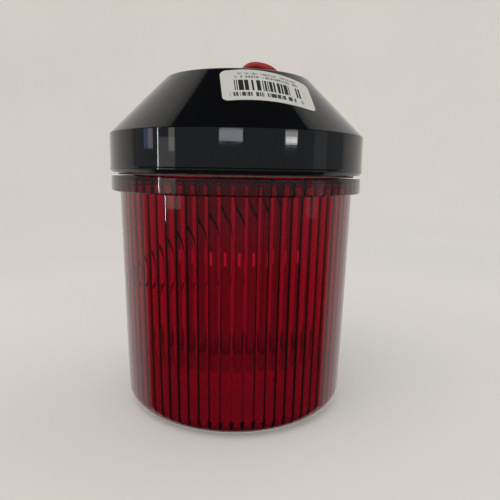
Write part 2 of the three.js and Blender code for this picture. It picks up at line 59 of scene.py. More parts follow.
# ---------------------------------------------------------------------------------------------
# Supply lead: stranded copper in red PVC, 3.2 mm thick. It comes straight out of the grommet,
# arches over the rim of the recess, and lies in it as a flat coil of nearly two turns.
LEAD_R = 1.6
LEAD_EXIT = (3, 0, 154.8)
COIL_Z = 152.4
COIL_OUTER = 20.4
COIL_INNER = 17.2


def srgb(code):
    """Linear colour of an sRGB hex code."""
    shares = [int(code[i:i + 2], 16) / 255 for i in (1, 3, 5)]
    linear = [s / 12.92 if s <= 0.04045 else ((s + 0.055) / 1.055) ** 2.4 for s in shares]
    return (*linear, 1.0)


def add_node(tree, kind, inputs=(), **settings):
    """Adds a node; each input takes a plain value or another node's output."""
    node = tree.nodes.new("ShaderNode" + kind)
    for name, value in settings.items():
        setattr(node, name, value)
    for name, value in dict(inputs).items():
        if isinstance(value, bpy.types.NodeSocket):
            tree.links.new(value, node.inputs[name])
        else:
            node.inputs[name].default_value = value
    return node


def start_finish(name, colour, roughness, metallic=0.0):
    """A material with its plain values set, its node tree and its shader."""
    material = bpy.data.materials.new(name)
    material.use_nodes = True
    tree = material.node_tree
    shader = tree.nodes["Principled BSDF"]
    shader.inputs["Base Color"].default_value = srgb(colour)
    shader.inputs["Roughness"].default_value = roughness
    shader.inputs["Metallic"].default_value = metallic
    return material, tree, shader


def mottle(tree, shader, grain, colours=None, gloss=None, relief=0.0, stretch=(1, 1, 1), detail=3.0):
    """Noise with grains of a size in mm varies the colour, the roughness or the surface's height."""
    place = add_node(tree, "TexCoord").outputs["Object"]
    scale = [s / (grain * MM) for s in stretch]
    spread = add_node(tree, "Mapping", {"Vector": place, "Scale": scale})
    noise = add_node(tree, "TexNoise", {"Vector": spread.outputs[0], "Scale": 1.0, "Detail": detail})
    level = add_node(tree, "MapRange", {"Value": noise.outputs["Fac"], "From Min": 0.3, "From Max": 0.7})
    if colours:
        ramp = add_node(tree, "ValToRGB", {"Fac": level.outputs[0]})
        ramp.color_ramp.elements[0].color = srgb(colours[0])
        ramp.color_ramp.elements[1].color = srgb(colours[1])
        tree.links.new(ramp.outputs["Color"], shader.inputs["Base Color"])
    if gloss:
        span = {"Value": level.outputs[0], "To Min": gloss[0], "To Max": gloss[1]}
        tree.links.new(add_node(tree, "MapRange", span).outputs[0], shader.inputs["Roughness"])
    if relief:
        bump = add_node(tree, "Bump", {"Height": level.outputs[0], "Distance": relief * MM, "Strength": 1.0})
        if shader.inputs["Normal"].links:
            tree.links.new(shader.inputs["Normal"].links[0].from_socket, bump.inputs["Normal"])
        tree.links.new(bump.outputs[0], shader.inputs["Normal"])
    return level.outputs[0]


def blend(tree, share, first, second):
    """Colour that goes from one hex code to another as a share goes from 0 to 1."""
    mix = add_node(tree, "Mix", {0: share, 6: srgb(first), 7: srgb(second)}, data_type="RGBA")
    return mix.outputs[2]


def lead_curve(name, points, radius, material):
    """Round lead through points in mm, with closed ends."""
    data = bpy.data.curves.new(name, "CURVE")
    data.dimensions = "3D"
    data.bevel_depth = radius * MM
    data.bevel_resolution = 6
    data.resolution_u = 8
    data.use_fill_caps = True
    spline = data.splines.new("BEZIER")
    spline.bezier_points.add(len(points) - 1)
    for knot, point in zip(spline.bezier_points, points):
        knot.co = Vector(point) * MM
        knot.handle_left_type = "AUTO"
        knot.handle_right_type = "AUTO"
    data.materials.append(material)
    piece = bpy.data.objects.new(name, data)
    bpy.context.scene.collection.objects.link(piece)
    return piece


lead_route = [
    LEAD_EXIT, (3, 0, 156.2), (2.7, 0, 157.6), (2.2, 0, 159.2), (2, -0.1, 160.9),
    (2.4, -0.3, 162.8), (3.7, -0.5, 164.7), (5.7, -0.8, 166), (8.2, -1.1, 166.45),
    (12, -1.4, 165.95), (14.9, -1.7, 164.95), (17.4, -1.9, 163.4), (19.4, -2, 161.2),
    (20.6, -1.7, 158.8), (21, -0.6, 156.6), (21, 1.3, 154.6), (20.6, 3.4, 153.2),
    (19.9, 5.6, 152.5),
]
for degrees in range(24, 271 + 360, 12):
    crossing = min(max((degrees - 285) / 70, 0), 1)
    inward = crossing * crossing * (3 - 2 * crossing)
    radius = COIL_OUTER - (COIL_OUTER - COIL_INNER) * inward
    turn = math.radians(degrees)
    lead_route.append((radius * math.cos(turn), radius * math.sin(turn), COIL_Z))

# Red PVC: extruded, satin, a little darker where it has been handled.
red_pvc, tree, shader = start_finish("red_pvc_insulation", "#b93a38", 0.38)
mottle(tree, shader, 5.0, colours=("#a82c30", "#c4423e"), gloss=(0.3, 0.48))
mottle(tree, shader, 0.35, relief=0.012)

supply_lead = lead_curve("supply_lead_wire", lead_route, LEAD_R, red_pvc)

# Tinned end: 7 mm of twisted strands dipped in solder, dull silver with the twist still showing.
tinned_copper, tree, shader = start_finish("tinned_copper_strands", "#b9bbbc", 0.32, 1.0)
mottle(tree, shader, 0.5, colours=("#9fa1a2", "#c9cbcc"), relief=0.03, stretch=(3, 1, 1))
end_turn = math.radians(624)
along = Vector((-math.sin(end_turn), math.cos(end_turn), 0))
end_point = Vector(lead_route[-1])
tip_route = [end_point + along * distance for distance in (-0.3, 2, 4.2, 6.5)]
lead_tip = lead_curve("supply_lead_tip", tip_route, 0.75, tinned_copper)

for piece, slot in ((supply_lead, "red_pvc"), (lead_tip, "plated_steel")):
    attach(piece, "base")
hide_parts("supply_lead", "supply_lead_coil")


# ---------------------------------------------------------------------------------------------
# Studio: a round pale floor that curves up into a wall, a soft even sky, and a darker room in
# front of the light that its glossy faces mirror. The floor is left out of those mirrors.
def rounded(corners, steps=5):
    """Profile through (radius, height, fillet) corners, with its fillets as arcs."""
    points = []
    for i, (radius, height, fillet) in enumerate(corners):
        here = Vector((radius, 0, height))
        if fillet == 0:
            points.append(here)
            continue
        before = corners[i - 1]
        after = corners[(i + 1) % len(corners)]
        back = (Vector((before[0], 0, before[1])) - here).normalized()
        ahead = (Vector((after[0], 0, after[1])) - here).normalized()
        half = back.angle(ahead) / 2
        centre = here + (back + ahead).normalized() * fillet / math.sin(half)
        first = here + back * fillet / math.tan(half) - centre
        last = here + ahead * fillet / math.tan(half) - centre
        sweep = math.pi - 2 * half
        for k in range(steps + 1):
            turn = sweep * k / steps
            arm = first * math.sin(sweep - turn) + last * math.sin(turn)
            points.append(centre + arm / math.sin(sweep))
    return points


def turned(profile, steps=48, closed=True):
    """Solid of revolution about Z of a profile in the XZ plane."""
    mesh = bmesh.new()
    verts = [mesh.verts.new(point) for point in profile]
    edges = [mesh.edges.new(pair) for pair in zip(verts, verts[1:])]
    if closed:
        edges.append(mesh.edges.new((verts[-1], verts[0])))
    bmesh.ops.spin(
        mesh, geom=verts + edges, cent=(0, 0, 0), axis=(0, 0, 1), dvec=(0, 0, 0),
        angle=2 * math.pi, steps=steps, use_merge=True, use_duplicate=False,
    )
    bmesh.ops.remove_doubles(mesh, verts=mesh.verts[:], dist=1e-4)
    bmesh.ops.recalc_face_normals(mesh, faces=mesh.faces[:])
    return mesh


def make_object(mesh, name, material, sharp=32):
    """Object from a bmesh in mm, smooth but for edges sharper than an angle."""
    bmesh.ops.scale(mesh, vec=(MM, MM, MM), verts=mesh.verts[:])
    data = bpy.data.meshes.new(name)
    mesh.to_mesh(data)
    mesh.free()
    data.shade_smooth()
    data.set_sharp_from_angle(angle=math.radians(sharp))
    data.materials.append(material)
    made = bpy.data.objects.new(name, data)
    bpy.context.scene.collection.objects.link(made)
    even = made.modifiers.new("even_normals", "WEIGHTED_NORMAL")
    even.keep_sharp = True
    return made


# Matt white acrylic, faintly clouded and faintly lit from below.
floor_paint, tree, shader = start_finish("lit_white_acrylic", "#d8d6d2", 0.8)
mottle(tree, shader, 260, colours=("#d5d3cf", "#dbd9d5"))
shader.inputs["Emission Color"].default_value = srgb("#fffdf9")
shader.inputs["Emission Strength"].default_value = 0.19
floor_line = rounded([
    (0, 0, 0), (1300, 0, 600), (1300, 1400, 0), (1310, 1400, 0), (1310, -10, 0), (0, -10, 0),
], 16)
floor = make_object(turned(floor_line, 96), "studio_floor", floor_paint, 60)
floor.visible_glossy = False

world = bpy.data.worlds.new("studio")
bpy.context.scene.world = world
world.use_nodes = True
tree = world.node_tree
sky = tree.nodes["Background"]
sky.inputs["Color"].default_value = srgb("#f4f2ee")
sky.inputs["Strength"].default_value = 0.48
direction = add_node(tree, "SeparateXYZ", {0: add_node(tree, "TexCoord").outputs["Generated"]})
aside, away, upward = direction.outputs

# Mirrored room: dark in front, a little lighter at eye level, and bright from the sides on.
raised = add_node(tree, "Math", {0: upward, 1: 0.0}, operation="MAXIMUM").outputs[0]
sideways = add_node(tree, "Math", {0: aside, 1: -0.04, 2: away}, operation="MULTIPLY_ADD").outputs[0]
leaning = add_node(tree, "Math", {0: raised, 1: -0.2, 2: sideways}, operation="MULTIPLY_ADD").outputs[0]


def levels_along(value, levels):
    """Grey ramp over a value from -1 to 1, through (value, level) stops."""
    share = add_node(tree, "MapRange", {"Value": value, "From Min": -1.0, "From Max": 1.0})
    ramp = add_node(tree, "ValToRGB", {"Fac": share.outputs[0]})
    while len(ramp.color_ramp.elements) < len(levels):
        ramp.color_ramp.elements.new(0.5)
    for stop, (position, level) in zip(ramp.color_ramp.elements, levels):
        stop.position = (position + 1) / 2
        stop.color = (level, level, level, 1)
    return ramp.outputs["Color"]


behind_levels = levels_along(leaning, [
    (0.13, 0), (0.17, 0.3), (0.25, 0.5), (0.4, 0.6), (0.6, 0.68), (1, 0.74),
])
front_levels = levels_along(upward, [
    (-1, 0.03), (-0.25, 0.06), (-0.05, 0.2), (0, 0.3), (0.15, 0.3), (0.4, 0.06), (1, 0.02),
])
behind = add_node(tree, "Background", {"Color": srgb("#fffdf8"), "Strength": behind_levels})
front = add_node(tree, "Background", {"Color": srgb("#eef6ff"), "Strength": front_levels})
past_sides = add_node(tree, "Math", {0: leaning, 1: 0.15}, operation="GREATER_THAN")
room = add_node(tree, "MixShader", {0: past_sides.outputs[0], 1: front.outputs[0], 2: behind.outputs[0]})
mirrored = add_node(tree, "LightPath").outputs["Is Glossy Ray"]
both = add_node(tree, "MixShader", {0: mirrored, 1: sky.outputs[0], 2: room.outputs[0]})
tree.links.new(both.outputs[0], tree.nodes["World Output"].inputs["Surface"])


def lamp(name, azimuth, elevation, distance, width, height, radiance, colour, mirror_only=True):
    """Rectangular lamp aimed at the band, its azimuth counted from the front to the right."""
    data = bpy.data.lights.new(name, "AREA")
    data.shape = "RECTANGLE"
    data.size = width
    data.size_y = height
    data.energy = radiance * math.pi * width * height
    data.color = srgb(colour)[:3]
    aim = Vector((0, 0, 0.125))
    turn = math.radians(azimuth)
    rise = math.radians(elevation)
    outward = Vector((math.sin(turn) * math.cos(rise), -math.cos(turn) * math.cos(rise), math.sin(rise)))
    made = bpy.data.objects.new(name, data)
    made.location = aim + outward * distance
    made.rotation_euler = outward.to_track_quat("Z", "Y").to_euler()
    made.visible_camera = False
    made.visible_diffuse = not mirror_only
    made.visible_transmission = not mirror_only
    bpy.context.scene.collection.objects.link(made)
    return made


# Key and fill for the matt parts, then the windows and lamps that the glossy faces mirror.
# Each has its azimuth, elevation, distance, width, height, radiance and colour.
key = lamp("key_lamp", -40, 58, 1.1, 0.9, 0.9, 1.22, "#fffaf2", mirror_only=False)
key.visible_glossy = False
fill = lamp("fill_lamp", 120, 50, 1.2, 1.0, 1.0, 0.53, "#f4f6fa", mirror_only=False)
fill.visible_glossy = False
lamp("window_left", -80.5, 4.4, 1.0, 0.08, 0.075, 1.5, "#7fa3dc")
lamp("curtain_left", -75.5, 4.4, 1.0, 0.09, 0.075, 1.9, "#eedcf4")
lamp("window_edge", -67.7, 6, 1.0, 0.011, 0.55, 18, "#ffffff")
lamp("wall_left", -59, -2, 1.0, 0.27, 0.2, 0.75, "#f2f1ea")
lamp("picture_left", -54.3, 4.5, 0.95, 0.09, 0.085, 1.6, "#fff6e6")
lamp("lamp_front", -5, 4.1, 1.0, 0.33, 0.028, 4.0, "#eef4ff")
lamp("lamp_right", 44.5, 3.9, 1.0, 0.19, 0.03, 4.4, "#ffffff")
lamp("lamp_right_edge", 44.5, 3.5, 0.98, 0.17, 0.012, 9, "#ffffff")
lamp("door_right", 73, 0, 1.0, 0.24, 0.3, 0.25, "#e6e4dc")


# ---------------------------------------------------------------------------------------------
# Base housing: one glossy black ABS moulding. Band with a fine bead at its foot, 45 degree cone,
# flat mounting face with a round recess, and inside it the collar, bosses and four ramped lugs.
BAND_R = 61.75
BEAD_R = 62.0
BAND_BOTTOM = 113.9
CREASE_Z = 131.75
MOUNT_FACE_Z = 158.5
RECESS_R = 25.5
RECESS_FLOOR = 150.5
BAND_BORE_R = 59.25
SKIRT_R = 55.8
COLLAR_R = 53.2
INSERT_CIRCLE = 30.5
INSERT_BOSS_R = 4.8
INSERT_BORE_R = 3.6
BOSS_CIRCLE = 38
BOSS_R = 4
SCREW_BORE_R = 1.5
LUG_COUNT = 4
LUG_LEAD = 3.056
LUG_HEIGHT = 2.4


def round_bar(radius, bottom, top, x=0.0, y=0.0):
    """Upright round bar at a place, its ends flat."""
    mesh = bmesh.new()
    bmesh.ops.create_cone(
        mesh, cap_ends=True, segments=32, radius1=radius, radius2=radius, depth=top - bottom,
    )
    bmesh.ops.translate(mesh, vec=(x, y, (bottom + top) / 2), verts=mesh.verts[:])
    return mesh


def block(size, centre, edge=0.0):
    """Rectangular block with its edges rounded."""
    mesh = bmesh.new()
    bmesh.ops.create_cube(mesh, size=1.0)
    bmesh.ops.scale(mesh, vec=size, verts=mesh.verts[:])
    if edge:
        bmesh.ops.bevel(
            mesh, geom=mesh.edges[:], offset=edge, segments=2, affect="EDGES",
            profile=0.5, material=-1, clamp_overlap=True,
        )
    bmesh.ops.translate(mesh, vec=centre, verts=mesh.verts[:])
    return mesh


def together(parts):
    """One bmesh that holds several."""
    whole = bmesh.new()
    for part in parts:
        data = bpy.data.meshes.new("part")
        part.to_mesh(data)
        part.free()
        whole.from_mesh(data)
        bpy.data.meshes.remove(data)
    return whole


def combined(mesh, tool, operation):
    """Boolean of two bmeshes, DIFFERENCE, UNION or INTERSECT."""
    holders = []
    for part in (mesh, tool):
        data = bpy.data.meshes.new("part")
        part.to_mesh(data)
        part.free()
        holder = bpy.data.objects.new("part", data)
        bpy.context.scene.collection.objects.link(holder)
        holders.append(holder)
    modifier = holders[0].modifiers.new("combined", "BOOLEAN")
    modifier.operation = operation
    modifier.solver = "EXACT"
    modifier.object = holders[1]
    evaluated = holders[0].evaluated_get(bpy.context.evaluated_depsgraph_get())
    result = bmesh.new()
    result.from_mesh(evaluated.data)
    for holder in holders:
        bpy.data.objects.remove(holder)
    return result


def ring_places(count, radius, first):
    """Places round a circle, as (x, y, angle in radians)."""
    angles = [math.radians(first) + i * 2 * math.pi / count for i in range(count)]
    return [(radius * math.cos(a), radius * math.sin(a), a) for a in angles]


def lug(inner, outer, middle_bottom, angle):
    """Ramped lug: a ring sector of 36 degrees whose height climbs with the angle."""
    mesh = bmesh.new()
    arc = math.radians(36)
    steps = 12
    low = middle_bottom - arc / 2 * LUG_LEAD
    corners = [(inner, 0, low), (outer, 0, low), (outer, 0, low + LUG_HEIGHT), (inner, 0, low + LUG_HEIGHT)]
    face = mesh.faces.new([mesh.verts.new(corner) for corner in corners])
    bmesh.ops.spin(
        mesh, geom=[face], cent=(0, 0, 0), axis=(0, 0, 1), angle=arc, steps=steps,
        dvec=(0, 0, arc * LUG_LEAD / steps), use_duplicate=False,
    )
    turn = Matrix.Rotation(angle - arc / 2, 3, "Z")
    bmesh.ops.rotate(mesh, cent=(0, 0, 0), matrix=turn, verts=mesh.verts[:])
    bmesh.ops.recalc_face_normals(mesh, faces=mesh.faces[:])
    return mesh


def make_piece(mesh, name, material, replaced, body="base", sharp=32):
    """Finished piece that rides on a body and stands for CAD nodes."""
    piece = make_object(mesh, name, material, sharp)
    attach(piece, body)
    if replaced:
        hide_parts(*replaced)
    return piece


# Black ABS: mirror-like off a polished mould, with faint orange peel, smudges and hairline scuffs.
black_abs, tree, shader = start_finish("glossy_black_abs", "#0b0c0e", 0.12)
shader.inputs["IOR"].default_value = 1.52
mottle(tree, shader, 9, gloss=(0.015, 0.05), detail=4.0)
mottle(tree, shader, 0.5, relief=0.0003)
mottle(tree, shader, 0.4, relief=0.0006, stretch=(0.03, 0.03, 1), detail=5.0)

shell_line = rounded([
    (COLLAR_R, BAND_BOTTOM, 0.5), (61.0, BAND_BOTTOM, 0.4), (BEAD_R, BAND_BOTTOM + 1.5, 0.25),
    (BEAD_R, BAND_BOTTOM + 2.1, 0.2), (BAND_R, BAND_BOTTOM + 2.6, 0.2), (BAND_R, CREASE_Z, 0.6),
    (35.0, MOUNT_FACE_Z, 2.4), (RECESS_R, MOUNT_FACE_Z, 0.6), (RECESS_R, RECESS_FLOOR, 0.7),
    (7, RECESS_FLOOR, 0.3), (7, RECESS_FLOOR - 3, 0.3), (28, RECESS_FLOOR - 3, 0.8),
    (28, MOUNT_FACE_Z - 3, 0.8), (34.66, MOUNT_FACE_Z - 3, 1.0), (BAND_BORE_R, 130.9, 0.6),
    (BAND_BORE_R, 117, 0.5), (SKIRT_R, 117, 0.3), (SKIRT_R, 125, 0.4), (COLLAR_R, 125, 0.4),
])
housing = turned(shell_line, 192)
insert_places = ring_places(3, INSERT_CIRCLE, 90)
boss_places = ring_places(3, BOSS_CIRCLE, 30)
lug_angles = [angle for x, y, angle in ring_places(LUG_COUNT, 1, 45)]
pocket_bottom = MOUNT_FACE_Z - 9.6
boss_bottom = pocket_bottom - 2
bosses = [round_bar(INSERT_BOSS_R, boss_bottom, MOUNT_FACE_Z - 2, x, y) for x, y, angle in insert_places]
bosses += [round_bar(BOSS_R, 127.3, RECESS_FLOOR, x, y) for x, y, angle in boss_places]
bosses += [lug(COLLAR_R - 2.4, COLLAR_R + 0.5, 115.4, angle) for angle in lug_angles]
for boss in bosses:
    housing = combined(housing, boss, "UNION")
pocket_mouth = MOUNT_FACE_Z + 1
holes = [round_bar(INSERT_BORE_R, pocket_bottom, pocket_mouth, x, y) for x, y, angle in insert_places]
holes += [round_bar(SCREW_BORE_R, 126, 139.3, x, y) for x, y, angle in boss_places]
housing = combined(housing, together(holes), "DIFFERENCE")
make_piece(housing, "housing_moulding", black_abs, ["base_housing"])


# ---------------------------------------------------------------------------------------------
# Threaded inserts: three turned brass M5 bushes, heat-set flush in the mounting face.
# Grooved outside to bite into the plastic, with a cut thread in the bore.
INSERT_TOP = MOUNT_FACE_Z - 0.3

# Turned brass: warm and bright, with fine rings from the tool.
brass, tree, shader = start_finish("turned_brass", "#b8924a", 0.3, 1.0)
mottle(tree, shader, 1.2, colours=("#a37c3a", "#c8a25a"), gloss=(0.22, 0.42))
mottle(tree, shader, 0.25, relief=0.01, stretch=(0.1, 0.1, 1))

for i, (x, y, angle) in enumerate(insert_places):
    wall = [(2.4, INSERT_TOP - 9, 0.2), (2.8, INSERT_TOP - 9, 0.2), (3.25, INSERT_TOP - 8.4, 0.1)]
    for groove in (6.4, 3.4):
        wall += [(3.25, INSERT_TOP - groove - 0.7, 0), (2.8, INSERT_TOP - groove - 0.5, 0)]
        wall += [(2.8, INSERT_TOP - groove + 0.5, 0), (3.25, INSERT_TOP - groove + 0.7, 0)]
    wall += [(3.25, INSERT_TOP, 0.15), (2.6, INSERT_TOP, 0.1)]
    for pitch in range(10):
        height = INSERT_TOP - 0.5 - pitch * 0.8
        wall += [(2.45, height, 0), (2.1, height - 0.4, 0)]
    mesh = turned(rounded(wall, 3), 40)
    bmesh.ops.translate(mesh, vec=(x, y, 0), verts=mesh.verts[:])
    make_piece(mesh, f"brass_insert_{i + 1}", brass, [f"threaded_insert_{i + 1}"])


# ---------------------------------------------------------------------------------------------
# Cable grommet: moulded black rubber with a flange on each side of the recess floor and a short
# nose with two holes, one of them left empty.
# Black rubber: dull, bloomed a little grey.
black_rubber, tree, shader = start_finish("matt_black_rubber", "#1a1a1b", 0.7)
mottle(tree, shader, 2.0, colours=("#151516", "#242425"), gloss=(0.6, 0.8))
mottle(tree, shader, 0.3, relief=0.02)

grommet = turned(rounded([
    (0, 145.6, 0), (9, 145.6, 0.5), (9, 147.2, 0.4), (6.7, 147.2, 0.1), (6.7, 150.8, 0.1),
    (9.5, 150.8, 0.3), (9.5, 152.2, 0.5), (7.2, 152.7, 0.8), (6.4, 154.5, 0.6), (0, 154.5, 0),
], 4), 64)
lead_hole = round_bar(LEAD_R + 0.15, 140, 160, 3, 0)
spare_hole = round_bar(LEAD_R, 140, 160, -3, 0)
grommet = combined(grommet, together([lead_hole, spare_hole]), "DIFFERENCE")
make_piece(grommet, "grommet_moulding", black_rubber, ["cable_grommet"])


# ---------------------------------------------------------------------------------------------
# Paper label: a gloss price label of 40 x 20 mm with rounded corners, stuck round the cone a
# little askew. LABEL_SLANT and LABEL_ARC place its centre on the unrolled cone, measured from the
# cone's apex. Its print is a plain row of bars and dashes that says nothing.
LABEL_WIDTH = 40.0
LABEL_HEIGHT = 20.0
LABEL_CORNER = 2.6
LABEL_THICK = 0.12
LABEL_LIFT = 0.07
LABEL_TILT = math.radians(5.5)
LABEL_SLANT = 60.1
LABEL_ARC = 13.0
APEX_Z = CREASE_Z + BAND_R

# Coated paper: faintly grey and half gloss, with the print as flat grey-black ink.
label_paper, tree, shader = start_finish("coated_label_paper", "#d9dbd8", 0.5)
flat = add_node(tree, "SeparateXYZ", {0: add_node(tree, "UVMap", uv_map="print").outputs[0]})
along_label, up_label = flat.outputs[:2]


def inside(value, low, high):
    """1 where a value lies between two bounds, 0 elsewhere."""
    middle = (low + high) / 2
    return add_node(tree, "Math", {0: value, 1: middle, 2: (high - low) / 2}, operation="COMPARE").outputs[0]


def stripes(pitch, share, seed):
    """1 on a share of the columns of a pitch in mm, in an arbitrary order."""
    column = add_node(tree, "Math", {0: along_label, 1: 1 / pitch}, operation="MULTIPLY").outputs[0]
    whole = add_node(tree, "Math", {0: column}, operation="FLOOR").outputs[0]
    shifted = add_node(tree, "Math", {0: whole, 1: seed}, operation="ADD").outputs[0]
    chance = add_node(tree, "TexWhiteNoise", {"W": shifted}, noise_dimensions="1D").outputs["Value"]
    return add_node(tree, "Math", {0: chance, 1: share}, operation="LESS_THAN").outputs[0]


def product(values):
    """All the masks at once."""
    result = values[0]
    for value in values[1:]:
        result = add_node(tree, "Math", {0: result, 1: value}, operation="MULTIPLY").outputs[0]
    return result


# Bars of equal height, most of the label wide.
ink = product([stripes(0.42, 0.52, 3.0), inside(along_label, 5.2, 36.2), inside(up_label, 6.1, 13.0)])
# Rows of dashes: lower edge, upper edge, start, end, order, and how dark the ink is.
rows = (
    (14.4, 15.8, 6.0, 34.0, 11.0, 0.7), (16.7, 17.9, 7.0, 33.0, 29.0, 0.6),
    (2.4, 5.0, 3.0, 35.5, 47.0, 0.95),
)
for low, high, start, end, seed, darkness in rows:
    dash = product([stripes(1.15, 0.78, seed), stripes(0.3, 0.72, seed + 5), inside(up_label, low, high)])
    row = product([dash, inside(along_label, start, end), darkness])
    ink = add_node(tree, "Math", {0: ink, 1: row}, operation="MAXIMUM").outputs[0]
tree.links.new(blend(tree, ink, "#d8dad7", "#26272a"), shader.inputs["Base Color"])
mottle(tree, shader, 0.4, relief=0.004)

label = bmesh.new()
bmesh.ops.create_grid(label, x_segments=1, y_segments=1, size=1.0)
bmesh.ops.scale(label, vec=(LABEL_WIDTH / 2, LABEL_HEIGHT / 2, 1), verts=label.verts[:])
bmesh.ops.bevel(
    label, geom=label.verts[:], offset=LABEL_CORNER, segments=8, affect="VERTICES",
    profile=0.5, material=-1,
)
for across, length, steps in ((0, LABEL_WIDTH, 40), (1, LABEL_HEIGHT, 16)):
    normal = (1 - across, across, 0)
    for step in range(1, steps):
        cut = length * (step / steps - 0.5)
        place = (cut * normal[0], cut * normal[1], 0)
        whole = label.faces[:] + label.edges[:] + label.verts[:]
        bmesh.ops.bisect_plane(label, geom=whole, plane_co=place, plane_no=normal)
uv = label.loops.layers.uv.new("print")
for face in label.faces:
    for loop in face.loops:
        x, y, z = loop.vert.co
        loop[uv].uv = (x + LABEL_WIDTH / 2, y + LABEL_HEIGHT / 2)
for vert in label.verts:
    x, y, z = vert.co
    flat_x = LABEL_ARC + x * math.cos(LABEL_TILT) - y * math.sin(LABEL_TILT)
    flat_y = LABEL_SLANT - x * math.sin(LABEL_TILT) - y * math.cos(LABEL_TILT)
    slant = math.hypot(flat_x, flat_y)
    turn = math.atan2(flat_x, flat_y) * math.sqrt(2)
    radius = (slant + LABEL_LIFT) / math.sqrt(2)
    height = APEX_Z - (slant - LABEL_LIFT) / math.sqrt(2)
    vert.co = (radius * math.sin(turn), -radius * math.cos(turn), height)
bmesh.ops.recalc_face_normals(label, faces=label.faces[:])
bmesh.ops.solidify(label, geom=label.faces[:], thickness=-LABEL_THICK)
make_piece(label, "paper_label_sheet", label_paper, ["paper_label"], sharp=40)


# ---------------------------------------------------------------------------------------------
# Lens gasket: pale grey silicone ring between the lens flange and the foot of the band.
# It rides on the flange, so it drops with the lens.
GASKET_BOTTOM = 112.9
GASKET_TOP = 113.6
GASKET_INNER = 53.2
GASKET_OUTER = 58.1

# Grey silicone: waxy and slightly mottled. Its pale colour is darkened to a mid grey as painted shade for
# the groove it sits in.
grey_silicone_painted_shade, tree, shader = start_finish("mid_grey_silicone_painted_shade", "#9c9b97", 0.5)
mottle(tree, shader, 3, colours=("#929189", "#a6a5a1"), gloss=(0.42, 0.6))
mottle(tree, shader, 0.4, relief=0.01)
gasket = turned(rounded([
    (GASKET_INNER, GASKET_BOTTOM, 0.2), (GASKET_OUTER, GASKET_BOTTOM, 0.25),
    (GASKET_OUTER, GASKET_TOP, 0.25), (GASKET_INNER, GASKET_TOP, 0.2),
], 4), 160)
make_piece(gasket, "gasket_ring", grey_silicone_painted_shade, ["lens_gasket"], body="seal")


# ---------------------------------------------------------------------------------------------
# Lens: a deep cup injection-moulded in transparent red polycarbonate. Smooth outside, 72 rounded
# flutes down the inside, a flange, a neck with four ramped lugs, and the gate mark on its floor.
FLUTES = 72
FLUTE_STEPS = 8
FLUTE_ROUND = 3.5
FLUTE_PHASE = math.radians(1.25)
FLANGE_R = 61.4
FLANGE_BOTTOM = 105.5
FLANGE_TOP = 112.6
CAVITY_TOP = 110.5
NECK_R = 50.4
NECK_BORE = 47.9
NECK_TOP = 122.5
LENS_FLOOR = 3.0
GATE_MARK_R = 1.8
GATE_MARK_TOP = LENS_FLOOR + 1.5
CAVITY_TOP_R = 53.5

lens_line = rounded([
    (0, 0, 0), (55.01, 0, 8.4), (57.4, FLANGE_BOTTOM, 0.5), (FLANGE_R, FLANGE_BOTTOM, 0.5),
    (FLANGE_R, FLANGE_TOP, 0.6), (NECK_R, FLANGE_TOP, 0.4), (NECK_R, NECK_TOP, 0.6),
    (NECK_BORE, NECK_TOP, 0.6), (NECK_BORE, CAVITY_TOP, 0.5), (CAVITY_TOP_R, CAVITY_TOP, 0),
    (51.3, LENS_FLOOR, 5.5), (GATE_MARK_R, LENS_FLOOR, 0.3), (GATE_MARK_R, GATE_MARK_TOP, 0.4),
    (0, GATE_MARK_TOP, 0),
], 6)
lens = turned(lens_line, FLUTES * FLUTE_STEPS)
pitch_angle = 2 * math.pi / FLUTES
for vert in lens.verts:
    x, y, z = vert.co
    radius = math.hypot(x, y)
    in_cavity = 44 < radius < CAVITY_TOP_R + 0.1 and LENS_FLOOR + 0.01 < z < CAVITY_TOP + 0.01
    at_neck = z > CAVITY_TOP - 0.5 and radius < CAVITY_TOP_R - 0.1
    if in_cavity and not at_neck:
        share = (math.atan2(y, x) - FLUTE_PHASE) / pitch_angle
        offset = (share - round(share)) * pitch_angle * radius
        deeper = FLUTE_ROUND - math.sqrt(FLUTE_ROUND ** 2 - offset ** 2)
        vert.co = (x * (radius + deeper) / radius, y * (radius + deeper) / radius, z)
for angle in lug_angles:
    lens = combined(lens, lug(NECK_R - 0.5, NECK_R + 2.4, 118.1, angle), "UNION")

# Red polycarbonate: clear and glossy, the dye in the body, so thick places are deeper in colour.
red_polycarbonate, tree, shader = start_finish("clear_red_polycarbonate", "#fff4f2", 0.03)
shader.inputs["IOR"].default_value = 1.58
shader.inputs["Transmission Weight"].default_value = 1.0
mottle(tree, shader, 14, relief=0.01)
dye = add_node(tree, "VolumeAbsorption", {"Color": (0.888, 0.025, 0.56, 1), "Density": 1200.0})
tree.links.new(dye.outputs[0], tree.nodes["Material Output"].inputs["Volume"])
make_piece(lens, "lens_moulding", red_polycarbonate, ["lens"], body="lens_cup", sharp=24)


# ---------------------------------------------------------------------------------------------
# Light tower: aluminium hexagon extrusion, six white light boards with one diode each, and a
# natural nylon cup on its end. It hangs from the carrier plate by three long screws.
BOARD_FRONT = 17.9
DIODE_Z = 73.5
DIODE_WELL = 19.74
CAP_R = 26
CAP_WALL = 2
CAP_BOTTOM = 18.5
CAP_FLOOR = 21.5
CAP_TOP = 28
PORT_CIRCLE = 12.4
SCREW_HOLE_R = 1.7


def dress(material, *names):
    """Gives CAD nodes their finish."""
    for name in names:
        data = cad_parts[name].data
        data.materials.clear()
        data.materials.append(material)


# Mill finish: dull aluminium with the fine upright lines that the die leaves.
aluminium, tree, shader = start_finish("mill_finish_aluminium", "#b9bcbf", 0.38, 1.0)
mottle(tree, shader, 0.6, colours=("#a9acaf", "#c4c7ca"), gloss=(0.3, 0.45), stretch=(1, 1, 0.02))
mottle(tree, shader, 0.4, relief=0.01, stretch=(1, 1, 0.01))
dress(aluminium, "tower_core")

